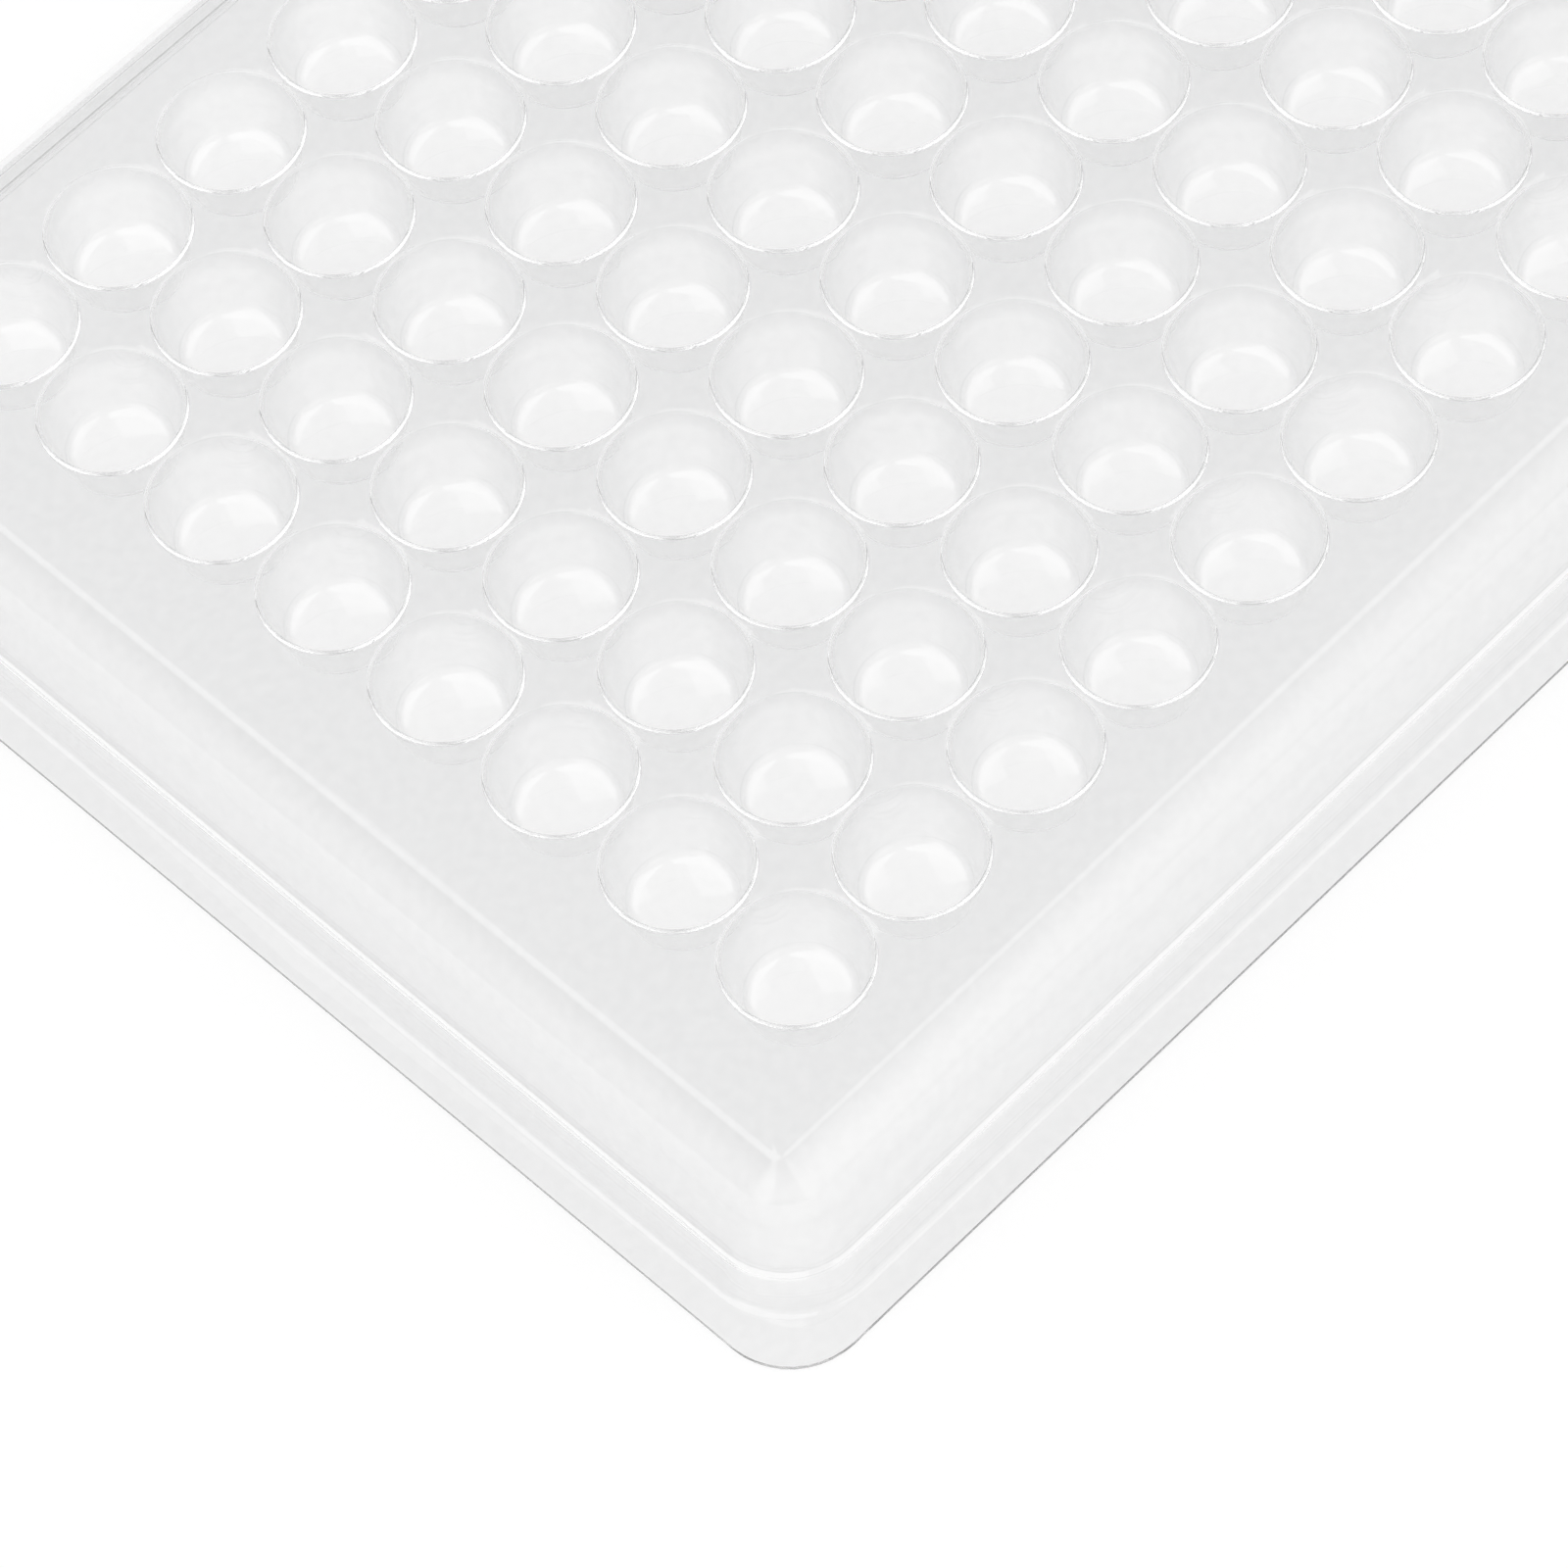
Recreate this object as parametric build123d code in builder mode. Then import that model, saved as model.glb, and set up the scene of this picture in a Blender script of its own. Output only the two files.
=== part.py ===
from build123d import *
from math import cos, radians, tan
import os

# A 96-well plate, thermoformed from one clear plastic sheet and standing on its flat flange

# The wells: a standard grid of cups drawn down from the deck, each tapering to a flat floor
columns = 12
rows = 8
pitch = 9.0
rim_radius = 4.18
well_depth = 4.25
well_taper = 16.0  # degrees, between the cup's wall and the vertical

# The sheet, and the plate's height from the flange's underside to the deck
sheet = 0.3
height = 9.6

# The deck's edge, measured from the centres of the outer wells
deck_border_x = 9.65
deck_border_y = 8.05
deck_corner = 0.5

# The skirt's folds from the deck down: how far each one stands outside the fold above it, how far below that
# fold it lies, and the radius of its corners
shoulder_run = 2.35
shoulder_drop = 2.7
shoulder_corner = 3.7
wall_run = 1.1
wall_drop = 4.3
wall_corner = 4.7
ledge_run = 0.35
ledge_drop = 0.1
ledge_corner = 4.9
foot_run = 0.8
foot_corner = 5.6

# The flat flange round the foot
flange_width = 1.95
flange_corner = 4.6


def outline(reach, corner):
    """The plate's rounded rectangle, grown by reach beyond the deck's edge."""
    length = (columns - 1) * pitch + 2 * (deck_border_x + reach)
    width = (rows - 1) * pitch + 2 * (deck_border_y + reach)
    RectangleRounded(length, width, corner)


# Each fold of the skirt as its reach, its level and its corner's radius
shoulder = (shoulder_run, height - shoulder_drop, shoulder_corner)
wall = (shoulder[0] + wall_run, shoulder[1] - wall_drop, wall_corner)
ledge = (wall[0] + ledge_run, wall[1] - ledge_drop, ledge_corner)
foot = (ledge[0] + foot_run, 0, foot_corner)
folds = [(0, height, deck_corner), shoulder, wall, ledge, foot]

# The deck and skirt: a solid block with a ruled face between each two folds, hollowed out from below
with BuildPart() as shell:
    for (reach, level, corner), (reach_above, level_above, corner_above) in zip(folds[1:], folds):
        with BuildSketch(Plane.XY.offset(level)):
            outline(reach, corner)
        with BuildSketch(Plane.XY.offset(level_above)):
            outline(reach_above, corner_above)
        loft(ruled=True)
    offset(amount=-sheet, openings=shell.faces().sort_by(Axis.Z)[0])

# A cup's inner wall from rim to floor, and the same wall on the outside of the sheet
taper = tan(radians(well_taper))
floor_radius = rim_radius - well_depth * taper
wall_across = sheet / cos(radians(well_taper))
outer_rim_radius = rim_radius + wall_across
outer_floor_radius = outer_rim_radius - (well_depth + sheet) * taper

with BuildPart() as well_plate:
    add(shell.part)

    # The flange runs out from the middle of the foot's wall
    with BuildSketch():
        outline(foot[0] + flange_width, flange_corner)
        with BuildSketch(mode=Mode.SUBTRACT):
            outline(foot[0] - sheet / 2, foot_corner - sheet / 2)
    extrude(amount=sheet)

    # The cups hang below the deck and are then opened from above
    with Locations((0, 0, height)):
        with GridLocations(pitch, pitch, columns, rows):
            Cone(
                outer_floor_radius,
                outer_rim_radius,
                well_depth + sheet,
                align=(Align.CENTER, Align.CENTER, Align.MAX),
            )
    with Locations((0, 0, height)):
        with GridLocations(pitch, pitch, columns, rows):
            Cone(
                floor_radius,
                rim_radius,
                well_depth,
                align=(Align.CENTER, Align.CENTER, Align.MAX),
                mode=Mode.SUBTRACT,
            )

well_plate.part.label = "well_plate"

os.makedirs("parts", exist_ok=True)
export_step(well_plate.part, "parts/well_plate.step")
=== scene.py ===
import bpy
import bmesh
from math import cos, pi, radians
from mathutils import Euler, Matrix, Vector


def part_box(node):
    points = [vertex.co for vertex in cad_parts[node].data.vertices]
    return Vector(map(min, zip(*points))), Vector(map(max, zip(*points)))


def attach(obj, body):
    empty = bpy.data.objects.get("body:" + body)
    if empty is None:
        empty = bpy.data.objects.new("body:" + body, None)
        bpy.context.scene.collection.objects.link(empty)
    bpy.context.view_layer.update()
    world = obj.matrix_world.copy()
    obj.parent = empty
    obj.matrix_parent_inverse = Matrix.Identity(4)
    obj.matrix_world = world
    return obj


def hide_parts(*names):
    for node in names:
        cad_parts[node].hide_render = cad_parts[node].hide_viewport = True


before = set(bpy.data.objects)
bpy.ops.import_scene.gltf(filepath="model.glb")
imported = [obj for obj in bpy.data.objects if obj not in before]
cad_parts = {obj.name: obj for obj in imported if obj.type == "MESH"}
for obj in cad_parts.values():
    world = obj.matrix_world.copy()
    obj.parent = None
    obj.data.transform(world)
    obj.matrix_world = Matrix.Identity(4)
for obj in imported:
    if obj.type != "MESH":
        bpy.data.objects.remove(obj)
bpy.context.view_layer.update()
lowest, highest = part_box("well_plate")
size = highest - lowest
middle = (lowest + highest) / 2
print("frame loaded")

# all lengths are in metres
closeEnough = 0.00001


# steps that both halves of the sheet use

def selectEdges(*places, openOnly=False):
    mesh = bmesh.from_edit_mesh(bpy.context.object.data)
    bpy.ops.mesh.select_all(action="DESELECT")
    for edge in mesh.edges:
        if openOnly and not edge.is_boundary:
            continue
        if any(all(isThere(vert.co) for vert in edge.verts) for isThere in places):
            edge.select_set(True)
    bmesh.update_edit_mesh(bpy.context.object.data)


def roundEdges(isThere, offset, steps):
    selectEdges(isThere)
    bpy.ops.mesh.bevel(offset=offset, segments=steps, affect="EDGES")


def applyModifier(piece, kind, **settings):
    modifier = piece.modifiers.new(kind.title(), kind)
    for setting, value in settings.items():
        setattr(modifier, setting, value)
    bpy.ops.object.modifier_apply(modifier=modifier.name)


# the wells

well = {
    "columns": 12,
    "rows": 8,
    "pitch": 0.009,
    "rimRadius": 0.00418,
    "floorRadius": 0.00296,
    "depth": 0.00425,
    "rimRounding": 0.00024,
    "floorRounding": 0.0005,
    "roundingSteps": 3,
    "facets": 48,
    "edgeBand": 0.0001,
}


def makeWells():
    first = Vector((
        middle.x - (well["columns"] - 1) / 2 * well["pitch"],
        middle.y - (well["rows"] - 1) / 2 * well["pitch"],
        highest.z,
    ))
    floor = first - Vector((0, 0, well["depth"]))

    def onRim(place):
        return abs((place - first).length - well["rimRadius"]) < well["edgeBand"]

    def onFloor(place):
        return abs((place - floor).length - well["floorRadius"]) < well["edgeBand"]

    # one square of the deck, bridged to a round rim
    bpy.ops.mesh.primitive_circle_add(
        vertices=4,
        radius=well["pitch"] / 2 ** 0.5,
        fill_type="NOTHING",
        location=first,
        rotation=(0, 0, pi / 4),
    )
    wells = bpy.context.object
    wells.name = "wellPlate"
    bpy.ops.object.transform_apply(location=True, rotation=True, scale=True)
    bpy.ops.object.mode_set(mode="EDIT")
    bpy.ops.mesh.select_mode(type="EDGE")
    bpy.ops.mesh.select_all(action="SELECT")
    bpy.ops.mesh.subdivide(number_cuts=well["facets"] // 4 - 1)
    bpy.ops.mesh.primitive_circle_add(
        vertices=well["facets"],
        radius=well["rimRadius"],
        fill_type="NOTHING",
        location=first,
    )
    bpy.ops.mesh.select_all(action="SELECT")
    bpy.ops.mesh.bridge_edge_loops()

    # the rim drawn down and in to a flat floor, and both bends rounded
    selectEdges(onRim)
    bpy.ops.mesh.extrude_region_move(TRANSFORM_OT_translate={"value": (0, 0, -well["depth"])})
    taper = well["floorRadius"] / well["rimRadius"]
    bpy.ops.transform.resize(value=(taper, taper, 1), center_override=floor)
    bpy.ops.mesh.edge_face_add()
    bpy.ops.mesh.poke()
    roundEdges(onFloor, well["floorRounding"], well["roundingSteps"])
    roundEdges(onRim, well["rimRounding"], well["roundingSteps"])
    bpy.ops.object.mode_set(mode="OBJECT")

    # the cup repeated along both sides
    for count, step in (
        (well["columns"], (well["pitch"], 0, 0)),
        (well["rows"], (0, well["pitch"], 0)),
    ):
        applyModifier(
            wells,
            "ARRAY",
            count=count,
            use_relative_offset=False,
            use_constant_offset=True,
            constant_offset_displace=step,
            use_merge_vertices=True,
            merge_threshold=closeEnough,
        )
    return wells


# the skirt

skirt = {
    "cornerSteps": 10,
    "foldSteps": 3,
    "deckBand": 0.001,
    "edgeBand": 0.00002,
    # from the flange's edge inwards: how far each outline stands inside that edge,
    # its level, its corner's radius and how far its fold is rounded
    "outlines": [
        {"inside": 0.0, "level": 0.0003, "corner": 0.0046, "rounding": 0.0},
        {"inside": 0.00195, "level": 0.0003, "corner": 0.0056, "rounding": 0.0003},
        {"inside": 0.00275, "level": 0.0025, "corner": 0.0049, "rounding": 0.00005},
        {"inside": 0.0031, "level": 0.0026, "corner": 0.0047, "rounding": 0.00005},
        {"inside": 0.0042, "level": 0.0069, "corner": 0.0037, "rounding": 0.001},
        {"inside": 0.00655, "level": 0.0096, "corner": 0.0005, "rounding": 0.0003},
    ],
}


def onOutline(outline):
    halfLength = size.x / 2 - outline["inside"]
    halfWidth = size.y / 2 - outline["inside"]
    level = lowest.z + outline["level"]
    near = skirt["edgeBand"]

    def test(place):
        across, along = abs(place.x - middle.x), abs(place.y - middle.y)
        if abs(place.z - level) > near or across > halfLength + near or along > halfWidth + near:
            return False
        cornerAcross = across - (halfLength - outline["corner"])
        cornerAlong = along - (halfWidth - outline["corner"])
        if cornerAcross > 0 and cornerAlong > 0:
            return abs((cornerAcross ** 2 + cornerAlong ** 2) ** 0.5 - outline["corner"]) < near
        return across > halfLength - near or along > halfWidth - near

    return test


def makeSkirt():
    bpy.ops.mesh.primitive_plane_add(size=1, location=middle)
    piece = bpy.context.object
    bpy.ops.object.transform_apply(location=True, rotation=True, scale=True)
    bpy.ops.object.mode_set(mode="EDIT")
    bpy.ops.mesh.select_mode(type="EDGE")
    bpy.ops.mesh.select_all(action="SELECT")
    bpy.ops.mesh.delete(type="VERT")

    # every outline is a plane with rounded corners, kept as a loop of edges
    for outline in skirt["outlines"]:
        place = Vector((middle.x, middle.y, lowest.z + outline["level"]))
        bpy.ops.mesh.primitive_plane_add(size=1, location=place)
        bpy.ops.transform.resize(
            value=(size.x - 2 * outline["inside"], size.y - 2 * outline["inside"], 1),
            center_override=place,
        )
        bpy.ops.mesh.bevel(offset=outline["corner"], segments=skirt["cornerSteps"], affect="VERTICES")
        bpy.ops.mesh.delete(type="ONLY_FACE")

    # the loops bridged one after the other, and the last one drawn in over the deck
    for outer, inner in zip(skirt["outlines"], skirt["outlines"][1:]):
        selectEdges(onOutline(outer), onOutline(inner))
        bpy.ops.mesh.bridge_edge_loops()
    deckEdge = skirt["outlines"][-1]
    selectEdges(onOutline(deckEdge))
    bpy.ops.mesh.extrude_region_move()
    bpy.ops.transform.resize(
        value=(
            1 - 2 * skirt["deckBand"] / (size.x - 2 * deckEdge["inside"]),
            1 - 2 * skirt["deckBand"] / (size.y - 2 * deckEdge["inside"]),
            1,
        ),
        center_override=(middle.x, middle.y, highest.z),
    )

    # then each fold rounded
    for outline in skirt["outlines"]:
        if outline["rounding"]:
            roundEdges(onOutline(outline), outline["rounding"], skirt["foldSteps"])
    bpy.ops.object.mode_set(mode="OBJECT")
    return piece


# the sheet: skirt, wells and the deck's border between them

sheet = {
    "thickness": 0.0003,
    "smoothBelow": 40,
    "flatFaceWeight": 80,
}


def makeSheet():
    bpy.ops.object.select_all(action="DESELECT")
    rim = makeSkirt()
    print("skirt")
    bpy.ops.object.select_all(action="DESELECT")
    plate = makeWells()
    print("wells")

    rim.select_set(True)
    bpy.ops.object.join()
    bpy.ops.object.mode_set(mode="EDIT")
    selectEdges(lambda place: abs(place.z - highest.z) < closeEnough, openOnly=True)
    bpy.ops.mesh.fill(use_beauty=True)
    bpy.ops.mesh.select_all(action="SELECT")
    bpy.ops.mesh.remove_doubles(threshold=closeEnough)
    bpy.ops.mesh.normals_make_consistent(inside=False)
    bpy.ops.object.mode_set(mode="OBJECT")
    applyModifier(plate, "SOLIDIFY", thickness=sheet["thickness"], offset=-1, use_even_offset=True)
    bpy.ops.object.shade_smooth_by_angle(angle=radians(sheet["smoothBelow"]))
    applyModifier(plate, "WEIGHTED_NORMAL", weight=sheet["flatFaceWeight"], keep_sharp=True)
    return plate


plate = makeSheet()
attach(plate, "root")
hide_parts("well_plate")
print("plate")


# steps that the plastic, the floor and the sky use: each source is a socket or a number

def plugIn(links, socket, source):
    if isinstance(source, bpy.types.NodeSocket):
        links.new(source, socket)
    else:
        socket.default_value = source


def combine(tree, operation, *sources, clamp=False):
    node = tree.nodes.new("ShaderNodeMath")
    node.operation = operation
    node.use_clamp = clamp
    for socket, source in zip(node.inputs, sources):
        plugIn(tree.links, socket, source)
    return node.outputs["Value"]


def rescale(tree, source, given, wanted=(0, 1), kind="LINEAR"):
    node = tree.nodes.new("ShaderNodeMapRange")
    node.interpolation_type = kind
    node.inputs["From Min"].default_value, node.inputs["From Max"].default_value = given
    node.inputs["To Min"].default_value, node.inputs["To Max"].default_value = wanted
    tree.links.new(source, node.inputs["Value"])
    return node.outputs["Result"]


def blend(tree, share, first, second, kind="RGBA"):
    node = tree.nodes.new("ShaderNodeMix")
    node.data_type = kind
    plugIn(tree.links, node.inputs["Factor"], share)
    plugIn(tree.links, node.inputs["A"], first)
    plugIn(tree.links, node.inputs["B"], second)
    return node.outputs["Result"]


def heightOf(tree, direction):
    node = tree.nodes.new("ShaderNodeSeparateXYZ")
    tree.links.new(direction, node.inputs["Vector"])
    return node.outputs["Z"]


# the clear plastic

plastic = {
    "clear": (0.985, 0.985, 0.985, 1),
    # the tint is the sheet's own grey and also the grey that painted shade pulls it towards
    "tint": (0.80, 0.803, 0.806, 1),
    # painted shade: the deck's grey is partly painted shade, on top of the sheet's own tint
    "greyByHeight": [(0, 0.3), (0.5, 0), (0.85, 0.1), (1, 0.62)],
    # painted shade: greyer where the sheet is seen edge-on
    "steep": (0.1, 0.6),
    "mottleScale": 1400,
    "mottleDetail": 2,
    "mottleRange": (0.3, 0.7),
    "mottle": 0.08,
    # painted shade along the flange's cut edge
    "cutEdgeShade": (0.12, 0.12, 0.12, 1),
    "uprightWithin": 0.1,
    "ior": 1.54,
    "roughness": 0,
    "shadowTint": (0.955, 0.955, 0.955, 1),
    "tintedTurns": 1.5,
    "mostTurns": 8.5,
}


def makePlastic():
    material = bpy.data.materials.new("clearPlastic")
    material.use_nodes = True
    tree = material.node_tree
    nodes, links = tree.nodes, tree.links
    shader = nodes["Principled BSDF"]
    shader.inputs["Base Color"].default_value = plastic["tint"]
    shader.inputs["IOR"].default_value = plastic["ior"]
    shader.inputs["Roughness"].default_value = plastic["roughness"]
    shader.inputs["Transmission Weight"].default_value = 1
    path = nodes.new("ShaderNodeLightPath")

    # the sheet is clearest where the wells are drawn deepest; its grey in the deck is partly its own
    # tint and partly painted shade, and painted shade also makes it greyer where it is seen edge-on
    place = nodes.new("ShaderNodeTexCoord")
    drawnAndShaded = nodes.new("ShaderNodeValToRGB")
    stops = drawnAndShaded.color_ramp.elements
    for number, (level, grey) in enumerate(plastic["greyByHeight"]):
        stop = stops[number] if number < 2 else stops.new(level)
        stop.position = level
        stop.color = (grey, grey, grey, 1)
    height = heightOf(tree, place.outputs["Object"])
    links.new(rescale(tree, height, (lowest.z, highest.z)), drawnAndShaded.inputs["Fac"])
    # painted shade: greyer as the sheet turns edge-on to the view
    facing = nodes.new("ShaderNodeLayerWeight").outputs["Facing"]
    steep = rescale(tree, facing, plastic["steep"])
    grey = combine(tree, "ADD", drawnAndShaded.outputs["Color"], steep, clamp=True)

    # and it is faintly mottled all over
    mottle = nodes.new("ShaderNodeTexNoise")
    mottle.inputs["Scale"].default_value = plastic["mottleScale"]
    mottle.inputs["Detail"].default_value = plastic["mottleDetail"]
    links.new(place.outputs["Object"], mottle.inputs["Vector"])
    strength = (-plastic["mottle"], plastic["mottle"])
    mottled = rescale(tree, mottle.outputs["Fac"], plastic["mottleRange"], strength)
    shade = combine(tree, "ADD", grey, mottled, clamp=True)

    # light that runs on inside the sheet's edges and rims keeps its strength
    entering = combine(tree, "LESS_THAN", path.outputs["Transmission Depth"], plastic["tintedTurns"])
    share = combine(tree, "MULTIPLY", entering, shade)
    colour = blend(tree, share, plastic["clear"], plastic["tint"])

    # the flange's cut edge is the one upright face, painted dark grey: painted shade for the dark
    # line along a clear edge
    slope = heightOf(tree, nodes.new("ShaderNodeNewGeometry").outputs["True Normal"])
    upright = combine(tree, "COMPARE", slope, 0, plastic["uprightWithin"])
    links.new(blend(tree, upright, colour, plastic["cutEdgeShade"]), shader.inputs["Base Color"])

    # light for the floor goes straight through, and so does light that has turned too often inside
    through = nodes.new("ShaderNodeBsdfTransparent")
    through.inputs["Color"].default_value = plastic["shadowTint"]
    lighting = combine(tree, "MAXIMUM", path.outputs["Is Shadow Ray"], path.outputs["Is Diffuse Ray"])
    trapped = combine(tree, "GREATER_THAN", path.outputs["Ray Depth"], plastic["mostTurns"])
    mix = nodes.new("ShaderNodeMixShader")
    links.new(combine(tree, "MAXIMUM", lighting, trapped), mix.inputs["Fac"])
    links.new(shader.outputs["BSDF"], mix.inputs[1])
    links.new(through.outputs["BSDF"], mix.inputs[2])
    links.new(mix.outputs["Shader"], nodes["Material Output"].inputs["Surface"])
    return material


plate.data.materials.clear()
plate.data.materials.append(makePlastic())
print("plastic")


# floor, light and camera

studio = {
    "floorSize": 4.0,
    "floorGap": 0.00005,
    "floorColour": (0.86, 0.86, 0.86, 1),
    "floorRoughness": 0.9,
    "floorGlow": 0.192,
    "white": (1, 1, 1, 1),
    "skyLight": 0.6,
    # the sky that is seen, at the horizon and overhead
    "dome": (0.6, 0.95),
    # two soft windows near the horizon: heading and height in degrees, and what each adds to the sky
    "windows": [
        {"heading": 190, "height": 14, "strength": 0.6},
        {"heading": 276, "height": 14, "strength": 0.55},
    ],
    "windowSpread": (24, 4),
    "lamps": [
        {"place": (-0.8, 0.38, 1.3), "size": 2.2, "power": 11.0},
        {"place": (0.8, -0.45, 1.1), "size": 1.5, "power": 4.9},
    ],
}


def seenRays(tree):
    path = tree.nodes.new("ShaderNodeLightPath").outputs
    mirrored = combine(tree, "MAXIMUM", path["Is Camera Ray"], path["Is Glossy Ray"])
    return combine(tree, "MAXIMUM", mirrored, path["Is Transmission Ray"])


def makeFloor():
    bpy.ops.object.select_all(action="DESELECT")
    place = (middle.x, middle.y, lowest.z - studio["floorGap"])
    bpy.ops.mesh.primitive_plane_add(size=studio["floorSize"], location=place)
    floor = bpy.context.object
    floor.name = "floor"
    material = bpy.data.materials.new("whiteTable")
    material.use_nodes = True
    tree = material.node_tree
    shader = tree.nodes["Principled BSDF"]
    shader.inputs["Base Color"].default_value = studio["floorColour"]
    shader.inputs["Roughness"].default_value = studio["floorRoughness"]
    shader.inputs["Specular IOR Level"].default_value = 0
    shader.inputs["Emission Color"].default_value = studio["white"]
    glow = combine(tree, "MULTIPLY", seenRays(tree), studio["floorGlow"])
    tree.links.new(glow, shader.inputs["Emission Strength"])
    floor.data.materials.append(material)


def makeSky():
    world = bpy.data.worlds.new("studio")
    world.use_nodes = True
    bpy.context.scene.world = world
    tree = world.node_tree
    background = tree.nodes["Background"]
    background.inputs["Color"].default_value = studio["white"]
    direction = tree.nodes.new("ShaderNodeTexCoord").outputs["Generated"]
    sky = rescale(tree, heightOf(tree, direction), (0, 1), studio["dome"])
    outside, inside = [cos(radians(angle)) for angle in studio["windowSpread"]]
    for window in studio["windows"]:
        turn = Euler((0, -radians(window["height"]), radians(window["heading"])))
        nearness = tree.nodes.new("ShaderNodeVectorMath")
        nearness.operation = "DOT_PRODUCT"
        nearness.inputs[1].default_value = turn.to_matrix() @ Vector((1, 0, 0))
        tree.links.new(direction, nearness.inputs[0])
        brightness = (0, window["strength"])
        glow = rescale(tree, nearness.outputs["Value"], (outside, inside), brightness, "SMOOTHSTEP")
        sky = combine(tree, "ADD", sky, glow)
    strength = blend(tree, seenRays(tree), studio["skyLight"], sky, "FLOAT")
    tree.links.new(strength, background.inputs["Strength"])


def makeLamps():
    for number, lamp in enumerate(studio["lamps"]):
        light = bpy.data.lights.new(f"softLamp{number}", "AREA")
        light.energy = lamp["power"]
        light.size = lamp["size"]
        holder = bpy.data.objects.new(light.name, light)
        bpy.context.scene.collection.objects.link(holder)
        holder.location = lamp["place"]
        towards = middle - Vector(lamp["place"])
        holder.rotation_euler = towards.to_track_quat("-Z", "Y").to_euler()


view = {
    "place": (-0.19161, -0.20939, 0.3903),
    "turn": (31.8138, 4.3876, -45.8219),
    "lens": 189.58,
    "nearest": 0.01,
}


def makeCamera():
    camera = bpy.data.cameras.new("camera")
    camera.lens = view["lens"]
    camera.clip_start = view["nearest"]
    holder = bpy.data.objects.new("camera", camera)
    bpy.context.scene.collection.objects.link(holder)
    holder.location = view["place"]
    holder.rotation_euler = [radians(angle) for angle in view["turn"]]
    bpy.context.scene.camera = holder


bounces = {
    "max_bounces": 12,
    "transmission_bounces": 12,
    "glossy_bounces": 12,
    "diffuse_bounces": 2,
    "transparent_max_bounces": 32,
}

makeFloor()
makeSky()
makeLamps()
makeCamera()
bpy.context.scene.view_settings.view_transform = "Standard"
for setting, value in bounces.items():
    setattr(bpy.context.scene.cycles, setting, value)
print("studio")
